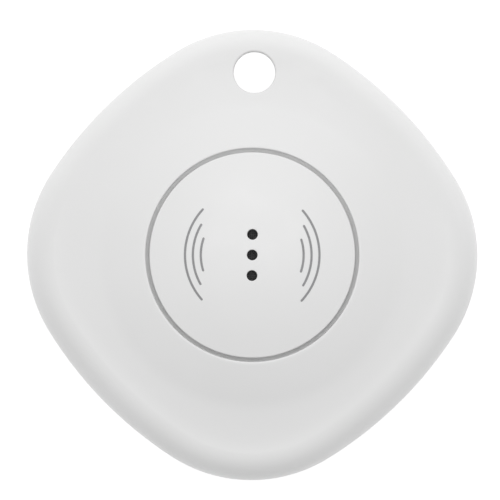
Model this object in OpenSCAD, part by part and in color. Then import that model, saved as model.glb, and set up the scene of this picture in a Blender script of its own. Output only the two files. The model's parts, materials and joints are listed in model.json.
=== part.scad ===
// Bluetooth tracker tag: a rounded-diamond key fob with a central push button
// over a piezo sounder, a keyring hole and a twist-off battery door in the back.
// Lengths are in millimetres. The tag lies on its back on z = 0, its front faces
// +Z and its keyring hole points to +Y.

/* [Outline] */
// Width and height of the tag, point to point
tag_w = 40; // [39.6:0.1:40.4]
// Width of the tag across its four flat sides
flat_w = 37; // [36.9:0.1:37.3]
// Radius of the four rounded points
corner_r = 13; // [12.8:0.1:13.2]
// How far in from the outline the rounded edge reaches
edge_w = 2.4; // [2:0.1:2.8]
// Fullness of the rounded edge: 2 is an ellipse, and more makes it squarer
edge_fullness = 2.5; // [2:0.1:2.8]
// Height of the line where the two shells meet
part_z = 4.3; // [4.2:0.1:4.4]
// Thickness of the side wall at the parting line
wall = 1.5; // [1.4:0.1:1.6]

/* [Front face] */
// Base height of the face, before the dome is added to it
face_z = 7; // [6.95:0.05:7.05]
// How far the line that runs round inside the rounded edge stands above the base
crest_rise = 0.04; // [0.02:0.01:0.08]
// Steepest slope of the dome, as rise over run
dome_slope = 0.26; // [0.24:0.01:0.27]
// Slope of the apron round the foot of the dome
apron_slope = 0.13; // [0.1:0.01:0.14]
// Radius where the dome is steepest; inside it the dome is round like a lens
dome_bend_r = 12.9; // [12.7:0.1:13.1]
// Radius of the foot, where the dome meets the apron
dome_foot_r = 13.9; // [13.7:0.1:14.1]

/* [Keyring hole] */
// Radius of the keyring hole
hole_r = 1.84; // [1.6:0.02:1.9]
// Distance of the keyring hole from the middle of the tag
hole_y = 16.2; // [16:0.1:16.4]

/* [Button] */
// Radius of the button's visible disc
button_r = 9.1; // [9:0.05:9.15]
// Width of the gap round the disc
button_gap = 0.35; // [0.3:0.05:0.4]
// How far the button travels when pressed
button_travel = 0.2; // [0.15:0.05:0.2]
// Diameter of each sound hole
sound_hole_d = 0.94; // [0.8:0.02:1.1]
// Distance between neighbouring sound holes
sound_hole_pitch = 1.82; // [1.6:0.02:2]

/* [Battery door] */
// Radius of the door's outer plate
door_r = 12.7; // [12.6:0.05:12.75]
// Half the angle that each bayonet lug covers
lug_half_angle = 11; // [9:1:12]
// Angle that the door turns to unlock
door_turn = 35; // [33:1:36]
// Width of the coin slot
coin_slot_w = 1.8; // [1.6:0.1:2.2]

/* [Coin cell] */
// Radius of the cell, 10 on the standard 20 mm cell
cell_r = 10; // [9.9:0.02:10]
// Height of the cell, 3.2 on the standard one
cell_h = 3.2; // [3.1:0.02:3.2]

/* [Hidden] */
$fn = 64;

eps = 0.01;
play = 0.02;

// Outline: corner arcs round the four points, joined by long side arcs.
outline_steps = 72;
corner_c = tag_w / 2 - corner_r;
flat_in = (tag_w - flat_w) / 2;
side_c = flat_in * (2 * corner_c - flat_in) / ((2 - sqrt(2)) * corner_c - 2 * flat_in);
side_r = flat_w / 2 + side_c;
corner_half = atan2(side_c / sqrt(2), corner_c + side_c / sqrt(2));

// Skin: the crest line falls inwards over the width crest_fade, and the apron ends at apron_r.
crest_z = face_z + crest_rise;
crest_fade = 1.2;
apron_r = 18;
rear_crest_z = 1.0;
rear_valley_z = 1.15;
rear_fade = 2;
pad_r = 13.5;
pad_foot_r = 15.9;
edge_steps = 6;
fade_steps = 2;
dome_rings = [14.3, 13.9, 13.55, 13.2, 12.85, 12.4, 11.8, 11.2, 10.6, 9.9, 9.2];
pad_edge = 0.6;

// Inside of the shells. A tongue on the rear one enters a groove in the front one.
tongue_out = 0.75;
tongue_in = 1.45;
tongue_top = 4.9;
tongue_play = 0.06;
front_ceiling_z = 6.3;
rear_floor_z = 2.4;
boss_r = 3.0;
boss_keepout_r = 3.7;
hole_chamfer = 0.15;
stake_places = [[14, 0], [-14, 0], [0, -14]];
stake_r = 0.5;
stake_head_r = 0.95;
stake_head_h = 0.35;

// Button and its seat.
lip_z = 7.36;
flange_r = 10.2;
flange_h = 0.3;
flange_top = lip_z - play;
flange_bottom = flange_top - flange_h;
cap_underside = 7.8;
cap_rim_inner_r = 8.2;
key_w = 1.3;
key_r = 10.8;
key_h = 0.26;
key_play = 0.15;
plunger_r = 0.7;
mesh_r = 3.0;
mesh_h = 0.15;
gasket_r = [9.1, 10.1];
gasket_sink = 0.15;
carrier_top = 6.78;
carrier_h = 0.4;
carrier_r = 12.2;
carrier_hole_r = 5.4;
carrier_pocket_r = 12.3;
carrier_leg_r = 0.7;
carrier_leg_angles = [45, 165, 285];
carrier_leg_dist = 11;

// Sounder stack, from the carrier upwards.
adhesive_h = 0.08;
diaphragm_r = 5.98;
diaphragm_h = 0.15;
ceramic_r = 4.0;
ceramic_h = 0.18;
diaphragm_z = carrier_top + adhesive_h;

// Circuit board and what is soldered to it.
board_z = 4.75;
board_h = 0.6;
board_top = board_z + board_h;
board_inset = 2.3;
board_cut_y = 12;
switch_y = -7.4;
switch_size = [3.0, 2.6];
switch_base_h = 0.45;
switch_floor_h = 0.07;
switch_cover_h = 0.08;
switch_pocket_r = 1.1;
snap_sheet = 0.04;
snap_rise = button_travel - eps;
stem_bottom = board_top + switch_floor_h + snap_rise + snap_sheet + eps;
stem_top = board_top + 0.8;
stem_r = 0.7;
stem_flange_r = 0.95;
stem_flange_h = 0.12;
spring_sheet = 0.12;

// Battery compartment. The door's lugs run in channels above a ledge of the rear shell.
cell_z = 1.05;
door_z = 0.1;
door_inner = 0.95;
coin_slot_r = 7.5;
coin_slot_depth = 0.45;
recess_r = door_r + 0.15;
recess_top = 1.0;
bore_r = 11.0;
skirt_in = 10.3;
skirt_out = 10.92;
lug_r = 11.5;
lug_z = [1.66, 2.26];
lug_angles = [90, 210, 330];
channel_r = 11.65;
channel_z = 1.6;
channel_overlap = 0.3;
channel_entry_spare = 3;
channel_end_spare = 2;
cradle_in = 10.3;
cradle_out = 11.6;
cradle_top = 4.58;
cradle_wall = 1;
seal_r = 12.05;
seal_section_r = 0.25;

// Angle from the nearest of the four points.
function fold(a) = abs((a + 45) % 90 - 45);

// Distance from the middle to the outline, moved in by inset, at angle a.
function rim_r(a, inset) =
    let (f = fold(a), rc = corner_r - inset,
         join = atan2(rc * sin(corner_half), corner_c + rc * cos(corner_half)))
    f <= join
        ? corner_c * cos(f) + sqrt(pow(rc, 2) - pow(corner_c * sin(f), 2))
        : -side_c * cos(45 - f) + sqrt(pow(side_r - inset, 2) - pow(side_c * sin(45 - f), 2));

// 1 up to radius a, 0 beyond radius b, and a smooth cosine step between.
function step_down(r, a, b) = 0.5 + 0.5 * cos(180 * min(1, max(0, (r - a) / (b - a))));

// Share of the edge's height reached at an inset from the outline.
function edge_rise(inset) =
    pow(1 - pow((edge_w - min(inset, edge_w)) / edge_w, edge_fullness), 1 / edge_fullness);

function clip(x, low, high) = min(high, max(low, x));

// Height of the dome above the face. From the middle out its slope grows evenly to dome_slope,
// falls to apron_slope at the foot, and then fades evenly to nothing at apron_r.
function dome_rise(r) =
    let (lens_r = min(r, dome_bend_r),
         bend = dome_foot_r - clip(r, dome_bend_r, dome_foot_r),
         apron = apron_r - clip(r, dome_foot_r, apron_r))
    dome_slope * (pow(dome_bend_r, 2) - pow(lens_r, 2)) / (2 * dome_bend_r)
    + apron_slope * bend + (dome_slope - apron_slope) * pow(bend, 2) / (2 * (dome_foot_r - dome_bend_r))
    + apron_slope * pow(apron, 2) / (2 * (apron_r - dome_foot_r));

function front_z(inset, r) =
    (inset < edge_w
        ? part_z + (crest_z - part_z) * edge_rise(inset)
        : face_z + crest_rise * pow(1 - clip((inset - edge_w) / crest_fade, 0, 1), 2))
    + dome_rise(r);

function rear_z(inset, r) =
    (inset < edge_w
        ? part_z - (part_z - rear_crest_z) * edge_rise(inset)
        : rear_valley_z - (rear_valley_z - rear_crest_z) * step_down(inset, edge_w, edge_w + rear_fade))
    * (1 - step_down(r, pad_r, pad_foot_r));

edge_insets = [for (i = [0 : edge_steps]) edge_w * (1 - cos(90 * i / edge_steps))];

function skin_insets(fade) = concat(edge_insets, [for (i = [1 : fade_steps]) edge_w + fade * i / fade_steps]);

function rim_ring(inset, front) = [
    for (i = [0 : outline_steps - 1])
        let (a = 360 * i / outline_steps, r = rim_r(a, inset))
        [r * cos(a), r * sin(a), front ? front_z(inset, r) : rear_z(inset, r)]
];

function round_ring(r, front) = [
    for (i = [0 : outline_steps - 1])
        let (a = 360 * i / outline_steps)
        [r * cos(a), r * sin(a), front ? front_z(tag_w, r) : rear_z(tag_w, r)]
];

front_rings = concat([for (d = skin_insets(crest_fade)) rim_ring(d, true)],
                     [for (r = dome_rings) round_ring(r, true)]);
rear_rings = concat([for (d = skin_insets(rear_fade)) rim_ring(d, false)],
                    [for (r = [pad_r, pad_r - pad_edge]) round_ring(r, false)]);

// A closed solid between the parting plane and a stack of rings.
module skin_solid(rings, front) {
    n = outline_steps;
    last = len(rings) - 1;
    walls = [
        for (k = [0 : last - 1], i = [0 : n - 1])
            let (a = k * n + i, b = k * n + (i + 1) % n, c = a + n, d = b + n)
            each [[a, c, b], [b, c, d]]
    ];
    flat_face = [for (i = [0 : n - 1]) i];
    end_face = [for (i = [n - 1 : -1 : 0]) last * n + i];
    faces = concat(walls, [flat_face, end_face]);
    turned = [for (f = faces) [for (i = [len(f) - 1 : -1 : 0]) f[i]]];
    polyhedron(points = [for (ring = rings) each ring], faces = front ? faces : turned);
}

module outline(inset) {
    polygon([for (i = [0 : outline_steps - 1])
        let (a = 360 * i / outline_steps)
        rim_r(a, inset) * [cos(a), sin(a)]]);
}

module disc(r, z0, z1) {
    translate([0, 0, z0]) cylinder(r = r, h = z1 - z0);
}

module ring(r_in, r_out, z0, z1) {
    difference() {
        disc(r_out, z0, z1);
        disc(r_in, z0 - 1, z1 + 1);
    }
}

module block(size, at, z0, z1) {
    translate([at[0] - size[0] / 2, at[1] - size[1] / 2, z0]) cube([size[0], size[1], z1 - z0]);
}

// A slice of a ring, from angle a0 to a1.
module arc_ring(r_in, r_out, z0, z1, a0, a1) {
    rotate([0, 0, a0])
        rotate_extrude(angle = a1 - a0)
            translate([r_in, z0]) square([r_out - r_in, z1 - z0]);
}

module keyring_hole(z0, z1) {
    translate([0, hole_y, 0]) disc(hole_r, z0, z1);
}

module keyring_boss(r, z0, z1) {
    translate([0, hole_y, 0]) disc(r, z0, z1);
}

module front_shell() {
    mouth_z = face_z + 0.08;
    seat_play = 0.2;
    color("white") {
        difference() {
            skin_solid(front_rings, true);
            difference() {
                translate([0, 0, part_z - 1])
                    linear_extrude(tongue_top + tongue_play - part_z + 1)
                        outline(tongue_out - tongue_play);
                keyring_boss(boss_keepout_r - tongue_play, part_z - 2, tongue_top + 1);
            }
            difference() {
                translate([0, 0, part_z - 1])
                    linear_extrude(front_ceiling_z - part_z + 1) outline(wall);
                keyring_boss(boss_r, part_z - 2, front_ceiling_z + 1);
            }
            disc(carrier_pocket_r, front_ceiling_z - 0.5, carrier_top + play);
            disc(flange_r + seat_play, front_ceiling_z, lip_z);
            block([key_r + seat_play, key_w + 2 * key_play], [(key_r + seat_play) / 2, 0],
                  front_ceiling_z, flange_bottom + key_h + play);
            disc(button_r + button_gap, front_ceiling_z, face_z + dome_rise(0));
            keyring_hole(part_z - 1, face_z + 1);
            translate([0, hole_y, mouth_z - hole_chamfer])
                cylinder(r1 = hole_r, r2 = hole_r + 1, h = 1);
        }
        // Stakes that pass through the board and are flattened over it.
        for (p = stake_places) translate([p[0], p[1], 0]) {
            disc(stake_head_r, board_top, front_ceiling_z + 0.3);
            disc(stake_r, board_z - eps, board_top + eps);
            disc(stake_head_r, board_z - stake_head_h, board_z);
        }
    }
}

module rear_shell() {
    cradle_seat_r = cradle_out + 0.1;
    color("white") difference() {
        union() {
            difference() {
                skin_solid(rear_rings, false);
                difference() {
                    translate([0, 0, rear_floor_z])
                        linear_extrude(part_z - rear_floor_z + 1) outline(wall);
                    keyring_boss(boss_r, rear_floor_z - 1, part_z + 2);
                }
            }
            ring(cradle_seat_r, cradle_seat_r + cradle_wall, rear_floor_z - 0.1, cradle_top);
            // Tongue that enters the front shell.
            difference() {
                translate([0, 0, part_z - 0.5])
                    linear_extrude(tongue_top - part_z + 0.5) outline(tongue_out);
                translate([0, 0, part_z - 1])
                    linear_extrude(tongue_top - part_z + 2) outline(tongue_in);
                keyring_boss(boss_keepout_r, part_z, tongue_top + 1);
            }
        }
        disc(recess_r, -1, recess_top);
        disc(bore_r, 0, rear_floor_z + 1);
        for (a = lug_angles) {
            start = a - door_turn - lug_half_angle - channel_entry_spare;
            arc_ring(bore_r - channel_overlap, channel_r, recess_top - 0.1, rear_floor_z + 0.1,
                     start, a - door_turn + lug_half_angle + channel_entry_spare);
            arc_ring(bore_r - channel_overlap, channel_r, channel_z, rear_floor_z + 0.1,
                     start, a + lug_half_angle + channel_end_spare);
        }
        keyring_hole(-1, part_z + 1);
    }
}

module button_cap() {
    crown_steps = 8;
    top = [for (i = [0 : crown_steps])
        let (r = button_r * i / crown_steps)
        [r, face_z + dome_rise(r)]];
    color("white") difference() {
        union() {
            rotate_extrude() polygon(concat(top, [
                [button_r, flange_top], [flange_r, flange_top], [flange_r, flange_bottom],
                [cap_rim_inner_r, flange_bottom], [cap_rim_inner_r, cap_underside], [0, cap_underside]
            ]));
            // Key that stops the button from turning.
            block([key_r - button_r, key_w], [(key_r + button_r) / 2, 0],
                  flange_bottom, flange_bottom + key_h);
            // Plunger over the switch.
            translate([0, switch_y, 0]) disc(plunger_r, stem_top + play, cap_underside + 0.2);
        }
        for (i = [-1 : 1])
            translate([0, i * sound_hole_pitch, 0]) disc(sound_hole_d / 2, cap_underside - 1, top[0][1] + 1);
    }
}

module acoustic_mesh() {
    color("black") disc(mesh_r, cap_underside - mesh_h, cap_underside);
}

module button_gasket() {
    color("gray") ring(gasket_r[0], gasket_r[1], carrier_top - gasket_sink, flange_bottom - eps);
}

module sounder_carrier() {
    seat_in = diaphragm_r + 0.07;
    plunger_hole_r = 1.5;
    seat_play = 0.03;
    color("dimgray") difference() {
        union() {
            disc(carrier_r, carrier_top - carrier_h, carrier_top);
            ring(seat_in, seat_in + 0.5, carrier_top - eps, diaphragm_z + diaphragm_h + 0.04);
            for (a = carrier_leg_angles) rotate([0, 0, a]) translate([carrier_leg_dist, 0, 0])
                disc(carrier_leg_r, board_top + play, carrier_top - carrier_h + eps);
        }
        disc(carrier_hole_r, front_ceiling_z - 1, carrier_top + 1);
        ring(gasket_r[0] - seat_play, gasket_r[1] + seat_play, carrier_top - gasket_sink, carrier_top + 1);
        translate([0, switch_y, 0]) disc(plunger_hole_r, front_ceiling_z - 1, carrier_top + 1);
    }
}

module sounder_adhesive_ring() {
    color("black") ring(carrier_hole_r + play, diaphragm_r - play, carrier_top, diaphragm_z);
}

module sounder_diaphragm() {
    color("goldenrod") disc(diaphragm_r, diaphragm_z, diaphragm_z + diaphragm_h);
}

module sounder_ceramic() {
    color("ivory") disc(ceramic_r, diaphragm_z - ceramic_h, diaphragm_z);
}

// A bent leaf of sheet: a foot on the board, a slope, and a flat tip at x that reaches up to z1.
module leaf_spring(x, z1) {
    t = spring_sheet;
    foot = 0.6;
    run = 1.6;
    half_tip = 0.35;
    leaf_w = 1.0;
    tip_z = z1 - board_top;
    translate([x, leaf_w / 2, board_top]) rotate([90, 0, 0]) linear_extrude(leaf_w) polygon([
        [-run - foot, 0], [foot, 0], [foot, t], [-run + t, t],
        [-half_tip, tip_z - t], [half_tip, tip_z - t], [half_tip, tip_z],
        [-half_tip - t / 2, tip_z], [-run - t, t], [-run - foot, t]
    ]);
}

module ceramic_contact_spring() {
    color("gold") leaf_spring(1.6, diaphragm_z - ceramic_h - play);
}

module diaphragm_contact_spring() {
    color("gold") rotate([0, 0, 180]) leaf_spring(4.6, diaphragm_z - play);
}

module circuit_board() {
    color("darkgreen") difference() {
        translate([0, 0, board_z]) linear_extrude(board_h) intersection() {
            outline(board_inset);
            translate([-tag_w / 2, -tag_w / 2]) square([tag_w, tag_w / 2 + board_cut_y]);
        }
        for (p = stake_places) translate([p[0], p[1], 0]) disc(stake_r + 0.1, board_z - 1, board_top + 1);
    }
}

module radio_chip() {
    color("black") block([5, 5], [6.6, -3.6], board_top, board_top + 0.8);
}

module crystal() {
    color("silver") block([2.0, 1.6], [7.4, 1.6], board_top, board_top + 0.5);
}

module chip_antenna() {
    color("lightblue") block([3.2, 1.6], [0, -16.2], board_top, board_top + 0.85);
}

module power_inductor() {
    side = 3;
    corner_cut_r = 1.9;
    at = [-7, -4.6];
    top = board_top + 0.9;
    color("dimgray") intersection() {
        block([side, side], at, board_top, top);
        translate([at[0], at[1], 0]) disc(corner_cut_r, board_top, top);
    }
}

// Small two-pin parts, each at [x, y, 1 if it is turned].
module chips(places, h) {
    size = [1.0, 0.5];
    for (p = places) block(p[2] == 1 ? [size[1], size[0]] : size, p, board_top, board_top + h);
}

module capacitors() {
    color("tan") chips([[3.4, -1.6, 1], [3.4, -3.2, 1], [3.4, -4.8, 1], [10.0, -1.4, 1],
                        [10.0, -3.0, 1], [9.4, 1.6, 1], [5.6, 1.6, 1], [-9.4, -4.6, 1]], 0.5);
}

module resistors() {
    color("black") chips([[-6.6, -7.4, 0], [-5.0, -7.4, 0], [-6.6, -8.4, 0], [-2.2, -13.2, 0],
                          [-2.2, -15.4, 1], [2.4, -13.2, 0]], 0.35);
}

module insulating_film() {
    color("orange") ring(cell_r - 1.8, cell_r - 0.1, board_z - 0.08, board_z);
}

module switch_base() {
    color("black") difference() {
        block(switch_size, [0, switch_y], board_top, board_top + switch_base_h);
        translate([0, switch_y, 0]) disc(switch_pocket_r, board_top + switch_floor_h, board_top + 1);
    }
}

module switch_dome() {
    foot_in = 0.95;
    foot_out = 1.02;
    shoulder_in = 0.5;
    shoulder_out = 0.55;
    color("silver") translate([0, switch_y, board_top + switch_floor_h]) rotate_extrude() polygon([
        [0, snap_rise], [shoulder_in, snap_rise - snap_sheet], [foot_in, 0],
        [foot_out, 0], [shoulder_out, snap_rise], [0, snap_rise + snap_sheet]
    ]);
}

module switch_stem() {
    color("ivory") translate([0, switch_y, 0]) {
        disc(stem_flange_r, stem_bottom, stem_bottom + stem_flange_h);
        disc(stem_r, stem_bottom, stem_top);
    }
}

module switch_cover() {
    cover_z = board_top + switch_base_h;
    color("silver") difference() {
        block(switch_size, [0, switch_y], cover_z, cover_z + switch_cover_h);
        translate([0, switch_y, 0]) disc(stem_r + 0.08, cover_z - 1, cover_z + 1);
    }
}

// Three fingers of sheet that bend down from the board to the cell's cap.
module negative_contact() {
    sheet = 0.15;
    hub_r = 2.4;
    bend_r = 6.1;
    tip_r = 6.9;
    finger_w = 1.2;
    top = board_z;
    touch = cell_z + cell_h + play;
    color("gold") {
        disc(hub_r, top - sheet, top);
        for (a = [90, 210, 330])
            rotate([0, 0, a]) translate([0, finger_w / 2, 0]) rotate([90, 0, 0])
                linear_extrude(finger_w) polygon([
                    [hub_r - 0.4, top], [hub_r - 0.4, top - sheet], [bend_r - 0.3, touch + 0.05],
                    [bend_r, touch], [tip_r - 0.3, touch], [tip_r, touch + 0.1],
                    [tip_r, touch + 0.22], [bend_r - 0.2, touch + 0.2], [hub_r, top]
                ]);
    }
}

// A bracket of sheet: a pad under the board and a leg beside the cell's can.
module positive_contact() {
    sheet = 0.2;
    leg_w = 3;
    pad_l = 2.4;
    leg_x = -(cell_r + 0.03);
    color("gold") {
        block([pad_l, leg_w], [leg_x - pad_l / 2, 0], board_z - 0.15, board_z);
        block([sheet, leg_w], [leg_x - sheet / 2, 0], rear_floor_z + 0.3, board_z);
    }
}

// A ring that centres the cell, with a gap for the side contact.
module battery_cradle() {
    gap_size = [4, 3.6];
    color("black") difference() {
        ring(cradle_in, cradle_out, rear_floor_z, cradle_top);
        block(gap_size, [-cell_r - 1, 0], rear_floor_z - 1, cradle_top + 1);
    }
}

// The coin cell stands with its positive can against the door.
module cell_can() {
    t = 0.25;
    color("silver") translate([0, 0, cell_z]) rotate_extrude() polygon([
        [0, 0], [cell_r - 0.5, 0], [cell_r - 0.15, 0.15], [cell_r, 0.5], [cell_r, cell_h - 0.55],
        [cell_r - 0.15, cell_h - 0.3], [9.05, cell_h - 0.22], [9.05, cell_h - 0.45],
        [cell_r - t, cell_h - 0.75], [cell_r - t, 0.5], [cell_r - t - 0.3, t], [0, t]
    ]);
}

module cell_cathode() {
    color("black") disc(8.4, cell_z + 0.25, cell_z + 2.05);
}

module cell_separator() {
    color("white") disc(8.6, cell_z + 2.05, cell_z + 2.25);
}

module cell_anode() {
    color("lightgray") disc(7.9, cell_z + 2.25, cell_z + cell_h - 0.25);
}

module cell_gasket() {
    color("dimgray") translate([0, 0, cell_z]) rotate_extrude() polygon([
        [8.95, 0.26], [cell_r - 0.6, 0.26], [cell_r - 0.27, 0.5], [cell_r - 0.27, cell_h - 0.78],
        [9.03, cell_h - 0.48], [9.03, cell_h - 0.25], [8.83, cell_h - 0.25], [8.83, 1.2], [8.95, 1.2]
    ]);
}

module cell_cap() {
    t = 0.2;
    color("silver") translate([0, 0, cell_z]) rotate_extrude() polygon([
        [0, cell_h], [8.4, cell_h], [8.7, cell_h - 0.12], [8.8, cell_h - 0.4], [8.8, 1.3],
        [8.8 - t + 0.03, 1.3], [8.8 - t + 0.03, cell_h - 0.4], [8.4, cell_h - t], [0, cell_h - t]
    ]);
}

module battery_door() {
    groove = seal_section_r + eps;
    color("white") difference() {
        union() {
            disc(door_r, door_z, door_inner);
            ring(skirt_in, skirt_out, door_inner - eps, lug_z[1]);
            for (a = lug_angles)
                arc_ring(skirt_in + 0.1, lug_r, lug_z[0], lug_z[1], a - lug_half_angle, a + lug_half_angle);
        }
        intersection() {
            block([2 * door_r, coin_slot_w], [0, 0], -1, door_z + coin_slot_depth);
            disc(coin_slot_r, -2, door_inner);
        }
        ring(seal_r - groove, seal_r + groove, door_inner - 2 * groove, door_inner + 0.2);
    }
}

module door_seal() {
    color("dimgray") rotate_extrude() translate([seal_r, recess_top - seal_section_r - eps])
        circle(r = seal_section_r);
}

front_shell();
rear_shell();
button_cap();
acoustic_mesh();
button_gasket();
sounder_carrier();
sounder_adhesive_ring();
sounder_diaphragm();
sounder_ceramic();
ceramic_contact_spring();
diaphragm_contact_spring();
circuit_board();
radio_chip();
crystal();
chip_antenna();
power_inductor();
capacitors();
resistors();
insulating_film();
switch_base();
switch_dome();
switch_stem();
switch_cover();
negative_contact();
positive_contact();
battery_cradle();
cell_can();
cell_cathode();
cell_separator();
cell_anode();
cell_gasket();
cell_cap();
battery_door();
door_seal();
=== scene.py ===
import json
import math

import bmesh
import bpy
import numpy as np
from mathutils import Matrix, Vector

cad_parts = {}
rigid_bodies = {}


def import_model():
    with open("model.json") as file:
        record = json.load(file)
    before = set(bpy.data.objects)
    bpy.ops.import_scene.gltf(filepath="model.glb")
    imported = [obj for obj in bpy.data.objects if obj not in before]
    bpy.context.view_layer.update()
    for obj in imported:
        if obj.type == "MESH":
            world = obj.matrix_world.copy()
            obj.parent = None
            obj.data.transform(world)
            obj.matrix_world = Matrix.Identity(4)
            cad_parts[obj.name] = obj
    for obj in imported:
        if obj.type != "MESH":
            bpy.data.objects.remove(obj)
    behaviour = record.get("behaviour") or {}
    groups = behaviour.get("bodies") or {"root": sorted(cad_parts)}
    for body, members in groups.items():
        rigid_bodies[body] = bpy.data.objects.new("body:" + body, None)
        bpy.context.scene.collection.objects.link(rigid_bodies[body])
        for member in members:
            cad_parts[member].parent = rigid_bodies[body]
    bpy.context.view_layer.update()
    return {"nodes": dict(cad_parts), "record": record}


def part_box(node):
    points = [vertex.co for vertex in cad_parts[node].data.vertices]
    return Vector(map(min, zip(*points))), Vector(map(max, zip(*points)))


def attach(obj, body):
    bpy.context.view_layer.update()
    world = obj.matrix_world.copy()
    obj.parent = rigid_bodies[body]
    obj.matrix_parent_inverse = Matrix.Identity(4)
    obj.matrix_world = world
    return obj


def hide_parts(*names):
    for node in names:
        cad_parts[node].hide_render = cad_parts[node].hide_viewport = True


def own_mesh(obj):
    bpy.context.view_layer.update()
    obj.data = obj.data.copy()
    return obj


for item in list(bpy.data.objects):
    bpy.data.objects.remove(item)

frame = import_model()

# Looks of a round-cornered tracker tag. Lengths are in millimetres and new_piece() turns them into metres.
# Only the lamps' places and sizes and the camera's clipping are in metres from the start.
MM = 0.001


def cad_box(node):
    """Lowest and highest corner of a CAD node, in millimetres."""
    low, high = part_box(node)
    return np.array(low) / MM, np.array(high) / MM


def mount(name):
    return next(m for m in frame["record"]["mounts"] if m["name"] == name)


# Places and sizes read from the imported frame.
CAP_LOW, CAP_HIGH = cad_box("button_cap")
GASKET_LOW, GASKET_HIGH = cad_box("button_gasket")
BOARD_LOW, BOARD_HIGH = cad_box("circuit_board")
HALF_W = cad_box("rear_shell")[1][0]
PART_Z = cad_box("front_shell")[0][2]
DOOR_Z = cad_box("battery_door")[0][2]
SNAP_Z = cad_box("switch_dome")[0][2]
CARRIER_R = cad_box("sounder_carrier")[1][0]
HOLE_R = mount("keyring_hole")["dims"]["r_mm"]
HOLE_Y = mount("keyring_hole")["pos_m"][1] / MM
TOP_Z = CAP_HIGH[2]
CAP_UNDERSIDE = cad_box("acoustic_mesh")[1][2]

# Shape of the outline and the skin, as in the CAD.
FLAT_HALF_W = 18.5
CORNER_R = 13.0
EDGE_W = 2.4
EDGE_FULLNESS = 2.5
WALL = 1.5
CREST_RISE = 0.04
CREST_FADE = 1.2
DOME_SLOPE = 0.26
APRON_SLOPE = 0.13
DOME_BEND_R = 12.9
DOME_FOOT_R = 13.9
APRON_R = 18.0
REAR_CREST_Z = 1.0
REAR_VALLEY_Z = 1.15
REAR_FADE = 2.0
PAD_R = 13.5
PAD_FOOT_R = 15.9

# Button, its opening and its seat.
BUTTON_R = 9.1
OPENING_R = 9.45
FLANGE_R = 10.2
FLANGE_TOP = 7.34
FLANGE_BOTTOM = 7.04
CAP_RIM_R = 8.2
SEAT_PLAY = 0.02
LIP_Z = FLANGE_TOP + SEAT_PLAY
FLANGE_PLAY = 0.2
SEAT_R = FLANGE_R + FLANGE_PLAY
SOUND_HOLE_R = 0.47
SOUND_PITCH = 1.82
SWITCH_Y = -7.4
PLUNGER_R = 0.7
PLUNGER_ROOT = 0.2
KEY_HALF_W = 0.65
KEY_R = CAP_HIGH[0]
KEY_H = 0.26
KEY_PLAY = 0.15
KEY_END_PLAY = 0.2
GASKET_IN_R = 9.1
GASKET_WAIST = 0.14
SNAP_RISE = 0.19
SNAP_SHEET = 0.04
SNAP_R = 1.02
SNAP_IN_R = 0.95

# Inside of the shells.
CEILING_Z = 6.3
FLOOR_Z = 2.4
BOSS_R = 3.0
BOSS_KEEPOUT_R = 3.7
TONGUE_TOP = 4.9
TONGUE_OUT = 0.75
TONGUE_IN = 1.45
TONGUE_PLAY = 0.06
TONGUE_ROOT = 0.5
CARRIER_PLAY = 0.1
CARRIER_POCKET_R = CARRIER_R + CARRIER_PLAY
CARRIER_TOP = 6.78
STAKES = [(14, 0), (-14, 0), (0, -14)]
STAKE_R = 0.5
STAKE_HEAD_R = 0.95
STAKE_HEAD_H = 0.35
STAKE_ROOT = 0.3

# Battery door and the recess that it turns in.
DOOR_R = 12.7
DOOR_INNER = 0.95
SLOT_HALF_L = 7.5
SLOT_HALF_W = 0.9
SLOT_DEPTH = 0.45
SKIRT_IN = 10.3
SKIRT_OUT = 10.92
LUG_R = 11.5
LUG_Z = (1.66, 2.26)
LUG_ANGLES = (90, 210, 330)
LUG_HALF_ANGLE = 11
LUG_ROOT = 0.1
DOOR_TURN = 35
ENTRY_SPARE = 3
STOP_SPARE = 2
SEAL_R = 12.05
SEAL_HALF_W = 0.26
RECESS_R = 12.85
RECESS_TOP = 1.0
LEDGE_R = 11.0
LEDGE_ROOT = 0.4
LEDGE_CUT = 0.3
CHANNEL_R = 11.65
CHANNEL_Z = 1.6
CRADLE_SEAT = (11.7, 12.7)
CRADLE_SEAT_TOP = 4.58

# Marks sunk in the back. Angles are in degrees.
MARK_ANGLE = 270
MARK_DEPTH = 0.12
DIMPLE_R = 0.2
DIMPLE_PLACE_R = 13.18
DOT_R = 0.3
DOT_PLACE_R = 11.6
ARROW_R = 9.6
ARROW_HALF_W = 0.15
ARROW_START = 304
ARROW_NECK = 236
ARROW_TIP = 228
ARROW_HEAD_HALF_W = 0.7

# Small roundings that the CAD leaves out.
MOUTH_ROUND = 0.14
GROOVE_ROUND = 0.12
SOUND_HOLE_ROUND = 0.06
PARTING_CHAMFER = 0.09
DOOR_ROUND = 0.15

# Fineness of the meshes, and how far a cutting or joining solid runs past the face that it cuts or joins.
ROUND_STEPS = 5
SMALL_ROUND_STEPS = 4
RING_POINTS = 288
DISC_POINTS = 192
SMALL_POINTS = 48
DIMPLE_POINTS = 32
ARC_STEP = 2.5
SHARP_ANGLE = 34
PAST = 1.0
NUDGE = 0.1
OVERLAP = 0.01

# The outline: four round corners on the axes, joined by four long arcs that meet them smoothly. Each arc's
# middle lies SIDE_C behind the tag's middle, and the arc passes FLAT_HALF_W in front of it.
CORNER_C = HALF_W - CORNER_R
FLAT_IN = HALF_W - FLAT_HALF_W
SIDE_C = FLAT_IN * (2 * CORNER_C - FLAT_IN) / ((2 - math.sqrt(2)) * CORNER_C - 2 * FLAT_IN)
SIDE_R = FLAT_HALF_W + SIDE_C
CORNER_HALF = math.atan2(SIDE_C / math.sqrt(2), CORNER_C + SIDE_C / math.sqrt(2))


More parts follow.
